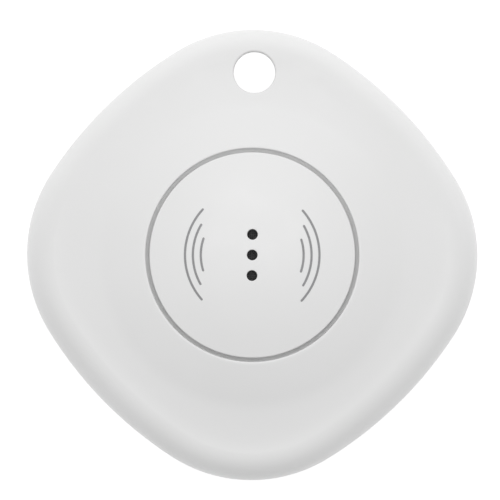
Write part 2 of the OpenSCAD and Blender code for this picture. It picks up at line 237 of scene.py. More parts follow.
def rim_radius(angle, inset):
    """Distance from the middle to the outline moved in by inset, at an angle in radians."""
    fold = np.abs((angle + math.pi / 4) % (math.pi / 2) - math.pi / 4)
    corner = CORNER_R - inset
    join = math.atan2(corner * math.sin(CORNER_HALF), CORNER_C + corner * math.cos(CORNER_HALF))
    across = CORNER_C * np.sin(np.minimum(fold, join))
    round_part = CORNER_C * np.cos(fold) + np.sqrt(corner**2 - across**2)
    off = math.pi / 4 - fold
    side_part = -SIDE_C * np.cos(off) + np.sqrt((SIDE_R - inset)**2 - (SIDE_C * np.sin(off))**2)
    return np.where(fold <= join, round_part, side_part)


def inset_at(x, y):
    """Distance of a point from the outline."""
    angle = np.arctan2(y, x)
    fold = np.abs((angle + math.pi / 4) % (math.pi / 2) - math.pi / 4)
    r = np.hypot(x, y)
    px, py = r * np.cos(fold), r * np.sin(fold)
    in_corner = np.arctan2(py, px - CORNER_C) < CORNER_HALF
    side = SIDE_C / math.sqrt(2)
    corner_inset = CORNER_R - np.hypot(px - CORNER_C, py)
    return np.where(in_corner, corner_inset, SIDE_R - np.hypot(px + side, py + side))


def step_down(value, start, end):
    """1 before the start, 0 after the end, and a smooth slope between them."""
    return 0.5 + 0.5 * np.cos(np.pi * np.clip((value - start) / (end - start), 0, 1))


def edge_rise(inset):
    """Share of the edge's height that is reached at an inset: 0 at the outline, 1 at the crest line."""
    share = (EDGE_W - np.clip(inset, 0, EDGE_W)) / EDGE_W
    return (1 - share**EDGE_FULLNESS)**(1 / EDGE_FULLNESS)


def dome_rise(r):
    """Height of the dome: round, then steep down to its foot, then a long gentle apron."""
    lens = (DOME_BEND_R**2 - np.minimum(r, DOME_BEND_R)**2) / (2 * DOME_BEND_R)
    bend = DOME_FOOT_R - np.clip(r, DOME_BEND_R, DOME_FOOT_R)
    apron = APRON_R - np.clip(r, DOME_FOOT_R, APRON_R)
    steepening = (DOME_SLOPE - APRON_SLOPE) * bend**2 / (2 * (DOME_FOOT_R - DOME_BEND_R))
    return (DOME_SLOPE * lens + APRON_SLOPE * bend + steepening
            + APRON_SLOPE * apron**2 / (2 * (APRON_R - DOME_FOOT_R)))


FACE_Z = TOP_Z - dome_rise(0)
CREST_Z = FACE_Z + CREST_RISE


def front_z(x, y):
    """Height of the front shell's skin, as if it ran on under the button."""
    inset = inset_at(x, y)
    edge = PART_Z + (CREST_Z - PART_Z) * edge_rise(inset)
    inner = FACE_Z + CREST_RISE * (1 - np.clip((inset - EDGE_W) / CREST_FADE, 0, 1))**2
    return np.where(inset < EDGE_W, edge, inner) + dome_rise(np.hypot(x, y))


def rear_z(x, y):
    """Height of the rear shell's skin: a rounded edge, a shallow valley and the pad that the tag lies on."""
    inset = inset_at(x, y)
    edge = PART_Z - (PART_Z - REAR_CREST_Z) * edge_rise(inset)
    fade = step_down(inset, EDGE_W, EDGE_W + REAR_FADE)
    inner = REAR_VALLEY_Z - (REAR_VALLEY_Z - REAR_CREST_Z) * fade
    pad = step_down(np.hypot(x, y), PAD_R, PAD_FOOT_R)
    return np.where(inset < EDGE_W, edge, inner) * (1 - pad)


def dome_z(x, y):
    return FACE_Z + dome_rise(np.hypot(x, y))


def flat(z):
    return lambda x, y: np.full(np.shape(x), float(z))


class Weave:
    """Points and quads of one closed mesh, made loop by loop."""

    def __init__(self):
        self.points = []
        self.faces = []

    def loop(self, xy, z):
        """Adds a loop of points and returns their numbers. z is a number, an array or a surface."""
        xy = np.asarray(xy, float)
        heights = z(xy[:, 0], xy[:, 1]) if callable(z) else np.broadcast_to(z, len(xy))
        first = len(self.points)
        self.points += [(p[0], p[1], h) for p, h in zip(xy, heights)]
        return list(range(first, first + len(xy)))

    def bridge(self, a, b):
        """Quads between two closed loops of the same length."""
        n = len(a)
        self.faces += [(a[i], a[(i + 1) % n], b[(i + 1) % n], b[i]) for i in range(n)]
        return b

    def follow(self, start, rings):
        """Quads from a loop through each (xy, z) ring in turn; returns the last loop."""
        for xy, z in rings:
            start = self.bridge(start, self.loop(xy, z))
        return start

    def piece(self, name, body, slot):
        return new_piece(name, self.points, self.faces, body, slot)


def new_piece(name, points, faces, body=None, slot=None):
    """A mesh object with its doubled points welded and its faces turned outwards."""
    mesh = bpy.data.meshes.new(name)
    mesh.from_pydata([tuple(float(v) * MM for v in p) for p in points], [], faces)
    shape = bmesh.new()
    shape.from_mesh(mesh)
    bmesh.ops.remove_doubles(shape, verts=shape.verts, dist=1e-4 * MM)
    bmesh.ops.delete(shape, geom=[edge for edge in shape.edges if edge.is_wire], context="EDGES")
    bmesh.ops.recalc_face_normals(shape, faces=shape.faces)
    shape.to_mesh(mesh)
    shape.free()
    piece = bpy.data.objects.new(name, mesh)
    bpy.context.scene.collection.objects.link(piece)
    if body:
        dress(piece, body, slot)
    return piece


def dress(piece, body, slot):
    """Smooth shading, the slot's material and the body that the piece rides on."""
    mesh = piece.data
    mesh.shade_smooth()
    mesh.set_sharp_from_angle(angle=math.radians(SHARP_ANGLE))
    mesh.materials.clear()
    mesh.materials.append(MATERIALS[slot])
    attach(piece, body)


def polar(r, degrees):
    """Point at a radius and an angle."""
    return (r * math.cos(math.radians(degrees)), r * math.sin(math.radians(degrees)))


def circle(r, n=DISC_POINTS, start=0.0, centre=(0, 0)):
    a = np.radians(start) + np.arange(n) * 2 * np.pi / n
    return np.stack([centre[0] + r * np.cos(a), centre[1] + r * np.sin(a)], 1)


def shares(steps):
    """Shares of the way to a last ring: equal steps, without 0 and with 1."""
    return np.arange(1, steps + 1) / steps


def between(first, last, share):
    return (1 - share) * first + share * last


def rounding(steps=ROUND_STEPS):
    """(share outwards, share down) along a quarter round, without its first point."""
    angles = [math.pi / 2 * i / steps for i in range(1, steps + 1)]
    return [(math.sin(a), 1 - math.cos(a)) for a in angles]


# Plain solids for cutting and joining.

def prism(xy, z0, z1):
    weave = Weave()
    low, high = weave.loop(xy, z0), weave.loop(xy, z1)
    weave.bridge(low, high)
    weave.faces += [tuple(low), tuple(high)]
    return new_piece("tool", weave.points, weave.faces)


def disc(r, z0, z1, centre=(0, 0), n=96):
    return prism(circle(r, n, centre=centre), z0, z1)


def tube(r_in, r_out, z0, z1):
    weave = Weave()
    first = weave.loop(circle(r_in), z0)
    last = weave.follow(first, [(circle(r_in), z1), (circle(r_out), z1), (circle(r_out), z0)])
    weave.bridge(last, first)
    return new_piece("tool", weave.points, weave.faces)


def arc_bar(r_in, r_out, z0, z1, a0, a1):
    """A bar bent along an arc from angle a0 to a1, in degrees."""
    count = max(2, round((a1 - a0) / ARC_STEP)) + 1
    angles = np.radians(np.linspace(a0, a1, count))
    ray = np.stack([np.cos(angles), np.sin(angles)], 1)
    return prism(np.concatenate([r_out * ray, r_in * ray[::-1]]), z0, z1)


def rectangle(x0, x1, y0, y1, z0, z1):
    return prism([(x0, y0), (x1, y0), (x1, y1), (x0, y1)], z0, z1)


def outline_prism(inset, z0, z1):
    """A prism of the tag's outline, moved in by inset."""
    angles = np.arange(RING_POINTS) * 2 * np.pi / RING_POINTS
    r = rim_radius(angles, inset)
    return prism(np.stack([r * np.cos(angles), r * np.sin(angles)], 1), z0, z1)


def combine(target, operation, *tools):
    """Cuts each tool from the target, or joins it on."""
    for tool in tools:
        modifier = target.modifiers.new("combine", "BOOLEAN")
        modifier.operation = operation
        modifier.solver = "MANIFOLD"
        modifier.object = tool
        bpy.context.view_layer.update()
        evaluated = target.evaluated_get(bpy.context.evaluated_depsgraph_get())
        result = bpy.data.meshes.new_from_object(evaluated)
        target.modifiers.clear()
        target.data = result
        bpy.data.objects.remove(tool)
    return target


# The two shells: rings of points run in from the outline, with a web of quads round the keyring hole.
EDGE_STEPS = 22
FADE_STEPS = 10
BLEND_STEPS = 24
FACE_STEPS = 11
ROUND_FROM_R = 12.0
RING_GAP = 0.05
WEB_HALF_SPAN = 9
WEB_REACH = 2.65
WEB_STEPS = 10


def shell_levels(opening_r, fade_w):
    """Ring points from the outline in to the opening: an array of rings x points x 2.

    The rings blend from the outline's shape into circles at ROUND_FROM_R, or just outside a wider opening.
    """
    angles = np.arange(RING_POINTS) * 2 * np.pi / RING_POINTS
    ray = np.stack([np.cos(angles), np.sin(angles)], 1)
    edge = [EDGE_W * (1 - math.cos(t)) for t in np.linspace(0, math.pi / 2, EDGE_STEPS + 1)]
    fade = list(np.linspace(EDGE_W, EDGE_W + fade_w, FADE_STEPS + 1)[1:])
    rings = [rim_radius(angles, inset) for inset in edge + fade]
    blend_end = max(opening_r + RING_GAP, ROUND_FROM_R)
    rings += [between(rings[-1], blend_end, share) for share in shares(BLEND_STEPS)]
    if opening_r < ROUND_FROM_R:
        rings += [np.full(RING_POINTS, r) for r in np.linspace(blend_end, opening_r, FACE_STEPS + 1)[1:]]
    else:
        rings[-1] = np.full(RING_POINTS, float(opening_r))
    return np.stack([r[:, None] * ray for r in rings])


def holed_sheet(weave, levels, surface, hole_r):
    """Quads over the rings, with a web round the keyring hole.

    Returns the outer, inner and hole loops, and the directions of the hole loop's points from its middle.
    """
    middle = RING_POINTS // 4
    i0, i1 = middle - WEB_HALF_SPAN, middle + WEB_HALF_SPAN
    heights = levels[:, middle, 1]
    k0 = int(np.max(np.nonzero(heights >= HOLE_Y + WEB_REACH)[0]))
    k1 = int(np.min(np.nonzero(heights <= HOLE_Y - WEB_REACH)[0]))
    grid = [weave.loop(ring, surface) for ring in levels]
    for k in range(len(grid) - 1):
        for i in range(RING_POINTS):
            if not (k0 <= k < k1 and i0 <= i < i1):
                j = (i + 1) % RING_POINTS
                weave.faces.append((grid[k][i], grid[k][j], grid[k + 1][j], grid[k + 1][i]))
    edge = [(k0, i) for i in range(i0, i1)] + [(k, i1) for k in range(k0, k1)]
    edge += [(k1, i) for i in range(i1, i0, -1)] + [(k, i0) for k in range(k1, k0, -1)]
    xy = np.array([levels[k, i] for k, i in edge])
    ray = xy - (0, HOLE_Y)
    ray /= np.linalg.norm(ray, axis=1)[:, None]
    rim = ray * hole_r + (0, HOLE_Y)
    loop = [grid[k][i] for k, i in edge]
    hole = weave.follow(loop, [(between(xy, rim, share), surface) for share in shares(WEB_STEPS)])
    return grid[0], grid[-1], hole, ray


def shell_skin(surface, up, opening_r, fade_w):
    """A closed solid between the parting plane and the skin, with the keyring hole and the opening."""
    weave = Weave()
    levels = shell_levels(opening_r + GROOVE_ROUND, fade_w)
    outer, inner, mouth, ray = holed_sheet(weave, levels, surface, HOLE_R + MOUTH_ROUND)
    insets = np.linalg.norm(levels[0, 0] - levels[:, 0], axis=1)
    below = np.nonzero(insets >= PARTING_CHAMFER)[0]
    flat_outer, flat_inner, flat_mouth, _ = holed_sheet(weave, levels[below], flat(PART_Z), HOLE_R)
    # The outermost ring stops short of the parting plane, so the two shells leave a groove between them.
    for point in outer:
        x, y, _ = weave.points[point]
        weave.points[point] = (x, y, PART_Z + up * PARTING_CHAMFER)
    weave.bridge(outer, flat_outer)
    start_xy = ray * (HOLE_R + MOUTH_ROUND) + (0, HOLE_Y)
    start_z = surface(start_xy[:, 0], start_xy[:, 1])
    last = weave.follow(mouth, [
        (ray * (HOLE_R + MOUTH_ROUND * (1 - out)) + (0, HOLE_Y), start_z - up * MOUTH_ROUND * down)
        for out, down in rounding()
    ])
    weave.bridge(last, flat_mouth)
    rim = levels[-1] / (opening_r + GROOVE_ROUND)
    start_z = surface(levels[-1, :, 0], levels[-1, :, 1])
    last = weave.follow(inner, [
        (rim * (opening_r + GROOVE_ROUND * (1 - out)), start_z - up * GROOVE_ROUND * down)
        for out, down in rounding()
    ] + [(rim * opening_r, PART_Z)])
    weave.bridge(last, flat_inner)
    return new_piece("skin", weave.points, weave.faces)


def front_shell():
    shell = shell_skin(front_z, 1, OPENING_R, CREST_FADE)
    groove = outline_prism(TONGUE_OUT - TONGUE_PLAY, PART_Z - PAST, TONGUE_TOP + TONGUE_PLAY)
    keepout_r = BOSS_KEEPOUT_R - TONGUE_PLAY
    combine(groove, "DIFFERENCE", disc(keepout_r, PART_Z - 2 * PAST, TONGUE_TOP + PAST, (0, HOLE_Y)))
    cavity = outline_prism(WALL, PART_Z - PAST, CEILING_Z)
    combine(cavity, "DIFFERENCE", disc(BOSS_R, PART_Z - 2 * PAST, CEILING_Z + PAST, (0, HOLE_Y)))
    key_slot = rectangle(0, KEY_R + KEY_END_PLAY, -KEY_HALF_W - KEY_PLAY, KEY_HALF_W + KEY_PLAY,
                         CEILING_Z - NUDGE, FLANGE_BOTTOM + KEY_H + SEAT_PLAY)
    combine(shell, "DIFFERENCE", groove, cavity,
            disc(CARRIER_POCKET_R, CEILING_Z - NUDGE, CARRIER_TOP + SEAT_PLAY, n=DISC_POINTS),
            disc(SEAT_R, CEILING_Z - NUDGE, LIP_Z, n=DISC_POINTS), key_slot)
    for x, y in STAKES:
        stake = disc(STAKE_HEAD_R, BOARD_HIGH[2], CEILING_Z + STAKE_ROOT, (x, y))
        combine(stake, "UNION", disc(STAKE_R, BOARD_LOW[2] - OVERLAP, BOARD_HIGH[2] + OVERLAP, (x, y)),
                disc(STAKE_HEAD_R, BOARD_LOW[2] - STAKE_HEAD_H, BOARD_LOW[2], (x, y)))
        combine(shell, "UNION", stake)
    shell.name = "front_shell_skin"
    dress(shell, "housing", "shell_plastic")
    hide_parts("front_shell")


def rear_shell():
    shell = shell_skin(rear_z, -1, RECESS_R, REAR_FADE)
    cavity = outline_prism(WALL, FLOOR_Z, PART_Z + PAST)
    combine(cavity, "DIFFERENCE", disc(BOSS_R, FLOOR_Z - PAST, PART_Z + 2 * PAST, (0, HOLE_Y)))
    tongue = outline_prism(TONGUE_OUT, PART_Z - TONGUE_ROOT, TONGUE_TOP)
    combine(tongue, "DIFFERENCE", outline_prism(TONGUE_IN, PART_Z - PAST, TONGUE_TOP + PAST),
            disc(BOSS_KEEPOUT_R, PART_Z, TONGUE_TOP + PAST, (0, HOLE_Y)))
    ledge = tube(LEDGE_R, RECESS_R + LEDGE_ROOT, RECESS_TOP, FLOOR_Z)
    # Each lug goes in through an opening in the ledge, and then turns along a channel over its lower part.
    for angle in LUG_ANGLES:
        entry_angle = angle - DOOR_TURN
        start = entry_angle - LUG_HALF_ANGLE - ENTRY_SPARE
        combine(ledge, "DIFFERENCE",
                arc_bar(LEDGE_R - LEDGE_CUT, CHANNEL_R, RECESS_TOP - NUDGE, FLOOR_Z + NUDGE,
                        start, entry_angle + LUG_HALF_ANGLE + ENTRY_SPARE),
                arc_bar(LEDGE_R - LEDGE_CUT, CHANNEL_R, CHANNEL_Z, FLOOR_Z + NUDGE,
                        start, angle + LUG_HALF_ANGLE + STOP_SPARE))
    combine(shell, "DIFFERENCE", cavity)
    combine(shell, "UNION", ledge, tube(*CRADLE_SEAT, FLOOR_Z - NUDGE, CRADLE_SEAT_TOP), tongue)
    # Two small dimples beside the door: where its dot points when it is shut, and when it is open.
    for turn in (0, DOOR_TURN):
        spot = polar(DIMPLE_PLACE_R, MARK_ANGLE - turn)
        combine(shell, "DIFFERENCE", disc(DIMPLE_R, -PAST, MARK_DEPTH, spot, n=DIMPLE_POINTS))
    shell.name = "rear_shell_skin"
    dress(shell, "housing", "shell_plastic")
    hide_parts("rear_shell")


# The button: three square cells, each with a web round a sound hole, and rings out to the rim.

CELL_STEPS = DISC_POINTS // 8
CELL_WEB_STEPS = 5
CAP_TOP_STEPS = 22
CAP_UNDER_STEPS = 3
RIM_START = -90 + 180 * CELL_STEPS / DISC_POINTS


def cell_edge(centre_y):
    """Loop of points round a square cell, anticlockwise from its lower right corner."""
    h = SOUND_PITCH / 2
    s = np.linspace(-h, h, CELL_STEPS + 1)[:-1]
    side = np.full(CELL_STEPS, h)
    loop = np.concatenate([np.stack(p, 1) for p in ((side, s), (-s, side), (-side, -s), (s, -side))])
    return loop + (0, centre_y)


def long_edge():
    """Loop round the three cells together, with points in the same places."""
    h = SOUND_PITCH / 2
    up = np.linspace(-3 * h, 3 * h, 3 * CELL_STEPS + 1)[:-1]
    across = np.linspace(-h, h, CELL_STEPS + 1)[:-1]
    parts = ((np.full(len(up), h), up), (-across, np.full(len(across), 3 * h)),
             (np.full(len(up), -h), -up), (across, np.full(len(across), -3 * h)))
    return np.concatenate([np.stack(p, 1) for p in parts])


def button_sheet(weave, surface, rim_r, hole_r, rings):
    """Quads over the button's top or underside.

    Returns the rim loop and, for each sound hole, its loop, its centre and the directions of its points.
    """
    holes = []
    for i in (-1, 0, 1):
        centre = np.array([0, i * SOUND_PITCH])
        xy = cell_edge(centre[1])
        ray = (xy - centre) / np.linalg.norm(xy - centre, axis=1)[:, None]
        loop = weave.loop(xy, surface)
        rim = centre + hole_r * ray
        hole = weave.follow(loop, [(between(xy, rim, share), surface) for share in shares(CELL_WEB_STEPS)])
        holes.append((hole, centre, ray))
    xy = long_edge()
    rim = circle(rim_r, start=RIM_START)
    loop = weave.loop(xy, surface)
    outer = weave.follow(loop, [(between(xy, rim, share), surface) for share in shares(rings)])
    return outer, holes


def button():
    weave = Weave()
    top_r = BUTTON_R - GROOVE_ROUND
    mouth_r = SOUND_HOLE_R + SOUND_HOLE_ROUND
    rim, holes = button_sheet(weave, dome_z, top_r, mouth_r, CAP_TOP_STEPS)
    under_rim, under_holes = button_sheet(
        weave, flat(CAP_UNDERSIDE), CAP_RIM_R, SOUND_HOLE_R, CAP_UNDER_STEPS)
    ray = circle(1, start=RIM_START)
    edge_z = float(dome_z(top_r, 0.0))
    rings = [(ray * (top_r + GROOVE_ROUND * out), edge_z - GROOVE_ROUND * down) for out, down in rounding()]
    rings += [(ray * BUTTON_R, FLANGE_TOP), (ray * FLANGE_R, FLANGE_TOP), (ray * FLANGE_R, FLANGE_BOTTOM),
              (ray * CAP_RIM_R, FLANGE_BOTTOM)]
    weave.bridge(weave.follow(rim, rings), under_rim)
    for (hole, centre, spoke), (under_hole, _, _) in zip(holes, under_holes):
        xy = centre + spoke * mouth_r
        z = dome_z(xy[:, 0], xy[:, 1])
        last = weave.follow(hole, [
            (centre + spoke * (SOUND_HOLE_R + SOUND_HOLE_ROUND * (1 - out)), z - SOUND_HOLE_ROUND * down)
            for out, down in rounding(SMALL_ROUND_STEPS)
        ])
        weave.bridge(last, under_hole)
    cap = new_piece("button_cap_skin", weave.points, weave.faces)
    plunger = disc(PLUNGER_R, CAP_LOW[2], CAP_UNDERSIDE + PLUNGER_ROOT, (0, SWITCH_Y), n=SMALL_POINTS)
    key = rectangle(BUTTON_R, KEY_R, -KEY_HALF_W, KEY_HALF_W, FLANGE_BOTTOM, FLANGE_BOTTOM + KEY_H)
    combine(cap, "UNION", plunger, key)
    dress(cap, "button", "button_plastic")
    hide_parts("button_cap")


# Sound-wave arcs printed on both sides of the sound holes, in place of lettering.
WAVE_RADII = (4.55, 5.25, 5.95)
WAVE_HALF_ANGLES = (18, 30, 42)
WAVE_HALF_W = 0.1
WAVE_STEP = 1.2
WAVE_END_STEPS = 8
INK_ABOVE = 0.012
INK_BELOW = 0.05


def printed_arc(weave, r, middle, half_angle):
    """A thin closed strip that follows the dome, with half-round ends."""
    steps = round(2 * half_angle / WAVE_STEP)
    angles = np.radians(np.linspace(middle - half_angle, middle + half_angle, steps + 1))
    cap = np.radians(np.linspace(0, 180, WAVE_END_STEPS + 1)[1:-1])
    inner = [((r - WAVE_HALF_W) * math.cos(a), (r - WAVE_HALF_W) * math.sin(a)) for a in angles[::-1]]
    outer = [((r + WAVE_HALF_W) * math.cos(a), (r + WAVE_HALF_W) * math.sin(a)) for a in angles]

    def end_cap(angle, turn):
        out = np.array([math.cos(angle), math.sin(angle)])
        along = np.array([-math.sin(angle), math.cos(angle)]) * turn
        return [tuple(r * out + WAVE_HALF_W * (math.cos(c) * out * turn + math.sin(c) * along))
                for c in cap]

    xy = np.array(outer + end_cap(angles[-1], 1) + inner + end_cap(angles[0], -1))
    high = weave.loop(xy, dome_z(xy[:, 0], xy[:, 1]) + INK_ABOVE)
    low = weave.loop(xy, dome_z(xy[:, 0], xy[:, 1]) - INK_BELOW)
    weave.bridge(low, high)
    n = len(xy)
    caps = len(cap)
    pairs = [(i, n - caps - 1 - i) for i in range(len(outer))]
    for loop in (high, low):
        for (a, b), (c, d) in zip(pairs, pairs[1:]):
            weave.faces.append((loop[a], loop[c], loop[d], loop[b]))
        weave.faces.append(tuple(loop[len(outer) - 1:len(outer) + caps + 1]))
        weave.faces.append(tuple(loop[n - caps - 1:]) + (loop[0],))


def printed_waves():
    weave = Weave()
    for middle in (0, 180):
        for r, half_angle in zip(WAVE_RADII, WAVE_HALF_ANGLES):
            printed_arc(weave, r, middle, half_angle)
    weave.piece("sound_wave_print", "button", "button_ink")


# The battery door, from the coin slot outwards and round to its inner face.

SLOT_END_STEPS = 12
SLOT_SIDE_STEPS = DISC_POINTS // 2 - SLOT_END_STEPS
DOOR_FACE_STEPS = 12
DOOR_INNER_STEPS = 3


def slot_point(u, v, grow=0.0):
    """Point of the coin slot for u and v from -1 to 1, with rounded ends."""
    y = v * (SLOT_HALF_W + grow)
    return (u * math.sqrt((SLOT_HALF_L + grow)**2 - y**2), y)


def slot_edge(grow=0.0):
    """Loop round the coin slot, anticlockwise from its lower right corner."""
    v = np.linspace(-1, 1, SLOT_END_STEPS + 1)[:-1]
    u = np.linspace(1, -1, SLOT_SIDE_STEPS + 1)[:-1]
    walk = [(1, t) for t in v] + [(t, 1) for t in u] + [(-1, -t) for t in v] + [(-t, -1) for t in u]
    return np.array([slot_point(a, b, grow) for a, b in walk])


def slot_floor(weave, z):
    """Quads that close the slot's outline at a height."""
    rows = [weave.loop([slot_point(u, v) for u in np.linspace(-1, 1, SLOT_SIDE_STEPS + 1)], z)
            for v in np.linspace(-1, 1, SLOT_END_STEPS + 1)]
    for a, b in zip(rows, rows[1:]):
        weave.faces += [(a[i], a[i + 1], b[i + 1], b[i]) for i in range(len(a) - 1)]


def door():
    weave = Weave()
    ray = circle(1, start=-180 * SLOT_END_STEPS / DISC_POINTS)
    small = DOOR_ROUND / 2
    slot_floor(weave, DOOR_Z + SLOT_DEPTH)
    loop = weave.loop(slot_edge(), DOOR_Z + SLOT_DEPTH)
    rings = [(slot_edge(small * (1 - out)), DOOR_Z + small * down)
             for out, down in rounding(SMALL_ROUND_STEPS)[::-1]]
    mouth = slot_edge(small)
    rings.append((mouth, DOOR_Z))
    face_r = DOOR_R - DOOR_ROUND
    rings += [(between(mouth, face_r * ray, share), DOOR_Z) for share in shares(DOOR_FACE_STEPS)]
    rings += [(ray * (face_r + DOOR_ROUND * out), DOOR_Z + DOOR_ROUND * down) for out, down in rounding()]
    seal_out, seal_in = SEAL_R + SEAL_HALF_W, SEAL_R - SEAL_HALF_W
    seal_floor = DOOR_INNER - 2 * SEAL_HALF_W
    profile = [(DOOR_R, DOOR_INNER), (seal_out, DOOR_INNER), (seal_out, seal_floor),
               (seal_in, seal_floor), (seal_in, DOOR_INNER),
               (SKIRT_OUT, DOOR_INNER), (SKIRT_OUT, LUG_Z[1]), (SKIRT_IN, LUG_Z[1]), (SKIRT_IN, DOOR_INNER)]
    rings += [(ray * r, z) for r, z in profile]
    skirt = SKIRT_IN * ray
    rings += [(between(skirt, slot_edge(), share), DOOR_INNER) for share in shares(DOOR_INNER_STEPS)]
    weave.follow(loop, rings)
    slot_floor(weave, DOOR_INNER)
    cover = new_piece("battery_door_skin", weave.points, weave.faces)
    for angle in LUG_ANGLES:
        lug = arc_bar(SKIRT_IN + LUG_ROOT, LUG_R, *LUG_Z, angle - LUG_HALF_ANGLE, angle + LUG_HALF_ANGLE)
        combine(cover, "UNION", lug)
    # A pointing dot, and an arrow that shows which way the door opens.
    mark_top = DOOR_Z + MARK_DEPTH
    dot = disc(DOT_R, -PAST, mark_top, polar(DOT_PLACE_R, MARK_ANGLE), n=SMALL_POINTS)
    head = prism([polar(ARROW_R, ARROW_TIP),
                  polar(ARROW_R - ARROW_HEAD_HALF_W, ARROW_NECK),
                  polar(ARROW_R + ARROW_HEAD_HALF_W, ARROW_NECK)], -PAST, mark_top)
    shaft = arc_bar(ARROW_R - ARROW_HALF_W, ARROW_R + ARROW_HALF_W, -PAST, mark_top,
                    ARROW_NECK - NUDGE, ARROW_START)
    combine(cover, "DIFFERENCE", dot, shaft, head)
    dress(cover, "door", "door_plastic")
    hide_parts("battery_door")


# Two springy parts that give way when the button is pressed.
GASKET_STEPS = 12
SNAP_STEPS = 14
SNAP_POINTS = 64


def lathe(name, profile, body, slot, n=DISC_POINTS, centre=(0, 0)):
    """A closed ring made by turning a closed profile of (radius, height) points."""
    weave = Weave()
    first = weave.loop(circle(profile[0][0], n, centre=centre), profile[0][1])
    last = weave.follow(first, [(circle(r, n, centre=centre), z) for r, z in profile[1:]])
    weave.bridge(last, first)
    return weave.piece(name, body, slot)


def gasket():
    """A ring with a waist, wide where it stands on the carrier and where the button rests on it."""
    low, height = GASKET_LOW[2], GASKET_HIGH[2] - GASKET_LOW[2]
    share = np.linspace(0, 1, GASKET_STEPS + 1)
    pinch = GASKET_WAIST * np.sin(np.pi * share)**2
    outside = [(GASKET_HIGH[0] - p, low + height * s) for s, p in zip(share, pinch)]
    inside = [(GASKET_IN_R + p, low + height * s) for s, p in zip(share, pinch)]
    ring = lathe("gasket_ring", outside + inside[::-1], "housing", "silicone")
    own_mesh(ring)
    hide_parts("button_gasket")


def snap_dome():
    """The switch's thin domed spring."""
    share = np.linspace(0, 1, SNAP_STEPS + 1)
    under_z = SNAP_Z + SNAP_RISE * (1 - share**2)
    under = list(zip(SNAP_IN_R * share, under_z))
    upper = list(zip(SNAP_R * share, under_z + SNAP_SHEET * (1 - share**6)))
    dome = lathe("snap_dome_spring", under + upper[::-1], "housing", "bright_steel",
                 n=SNAP_POINTS, centre=(0, SWITCH_Y))
    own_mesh(dome)
    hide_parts("switch_dome")


# Materials. Texture coordinates are the object's own, in millimetres.
# A wave texture of scale 1 repeats after WAVE_PERIOD.
WAVE_PERIOD = 0.3142


class Shader:
    """A node material with a Principled shader."""

    def __init__(self, name, **sockets):
        self.material = bpy.data.materials.new(name)
        self.material.use_nodes = True
        self.tree = self.material.node_tree
        self.shader = self.tree.nodes["Principled BSDF"]
        for socket, value in sockets.items():
            self.shader.inputs[socket.replace("_", " ")].default_value = value

    def node(self, kind, links=(), **settings):
        """Adds a node; links are (socket, output) pairs and settings are attributes."""
        node = self.tree.nodes.new(kind)
        for key, value in settings.items():
            setattr(node, key, value)
        for socket, value in links:
            if isinstance(value, bpy.types.NodeSocket):
                self.tree.links.new(value, node.inputs[socket])
            else:
                node.inputs[socket].default_value = value
        return node

    def millimetres(self, stretch=(1, 1, 1)):
        place = self.node("ShaderNodeTexCoord")
        scale = tuple(s / MM for s in stretch)
        links = [("Vector", place.outputs["Object"]), ("Scale", scale)]
        return self.node("ShaderNodeMapping", links).outputs[0]

    def noise(self, vector, scale, detail=3.0, roughness=0.5):
        links = [("Vector", vector), ("Scale", scale), ("Detail", detail), ("Roughness", roughness)]
        return self.node("ShaderNodeTexNoise", links).outputs["Fac"]

    def spread(self, value, low, high, start=0.25, end=0.75):
        """Stretches start to end over low to high, and stops there."""
        links = [("Value", value), ("From Min", start), ("From Max", end), ("To Min", low), ("To Max", high)]
        return self.node("ShaderNodeMapRange", links).outputs[0]

    def mix(self, factor, first, second):
        node = self.node("ShaderNodeMix", data_type="RGBA")
        sockets = {s.name: s for s in node.inputs if s.enabled}
        for name, value in (("Factor", factor), ("A", first), ("B", second)):
            if isinstance(value, bpy.types.NodeSocket):
                self.tree.links.new(value, sockets[name])
            else:
                sockets[name].default_value = value if name == "Factor" else (*value, 1)
        return next(s for s in node.outputs if s.enabled)

    def bump(self, height, strength, depth, below=None):
        links = [("Height", height), ("Strength", strength), ("Distance", depth * MM)]
        if below is not None:
            links.append(("Normal", below))
        return self.node("ShaderNodeBump", links).outputs[0]

    def use(self, **sockets):
        for socket, value in sockets.items():
            self.tree.links.new(value, self.shader.inputs[socket.replace("_", " ")])
        return self.material


def moulded(name, light, dark, roughness=(0.36, 0.5), grain=7.0, depth=0.006):
    """Moulded plastic or rubber: spark-eroded grain, soft flow marks and uneven gloss."""
    s = Shader(name)
    mm = s.millimetres()
    fine = s.noise(mm, grain, 4.0, 0.6)
    wide = s.noise(mm, 0.12, 2.0)
    gloss = s.noise(mm, 0.5, 3.0)
    soft = s.bump(s.noise(mm, 0.35, 1.0), 0.15, depth * 2)
    return s.use(Base_Color=s.mix(s.spread(wide, 0, 1), dark, light), Roughness=s.spread(gloss, *roughness),
                 Normal=s.bump(fine, 0.35, depth, soft))


def rolled_metal(name, light, dark, roughness=(0.2, 0.38), tarnish=0.3):
    """Sheet metal: rolling lines along one way and a faint, blotchy tarnish."""
    s = Shader(name, Metallic=1.0)
    lines = s.noise(s.millimetres((0.25, 6, 6)), 3.0, 5.0, 0.65)
    blotch = s.noise(s.millimetres(), 0.5, 4.0)
    colour = s.mix(s.spread(blotch, 0, tarnish, 0.45, 0.8), light, dark)
    return s.use(Base_Color=colour, Roughness=s.spread(lines, *roughness), Normal=s.bump(lines, 0.3, 0.003))


